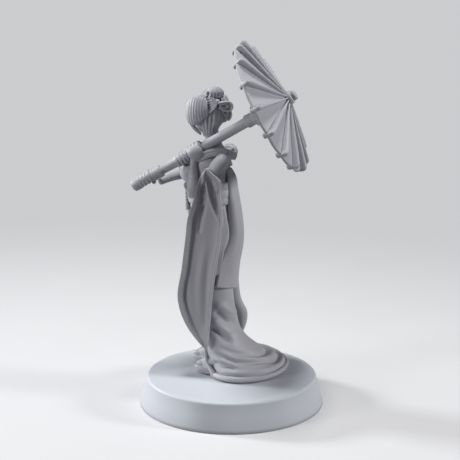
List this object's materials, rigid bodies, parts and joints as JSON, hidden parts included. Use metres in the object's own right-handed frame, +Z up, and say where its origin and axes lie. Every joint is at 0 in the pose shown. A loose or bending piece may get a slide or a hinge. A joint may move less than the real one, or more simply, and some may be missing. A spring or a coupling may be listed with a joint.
{
  "type": "geisha figurine",
  "caption": "Cast resin figurine of a geisha in a trailing kimono, an open paper parasol over the left shoulder, on a round tapered base.",
  "frame": {"origin": "centre of the base's flat underside", "axes": "+Z up; -Y the way the figure faces; +X the figure's left"},
  "size_m": [0.025, 0.025, 0.0488],
  "materials": {
    "base_resin": "smooth matte cast resin, pale cool grey",
    "figure_resin": "matte cast resin, light grey"
  },
  "bodies": {
    "root": {"base": "base_resin", "figure": "figure_resin"}
  },
  "joints": []
}
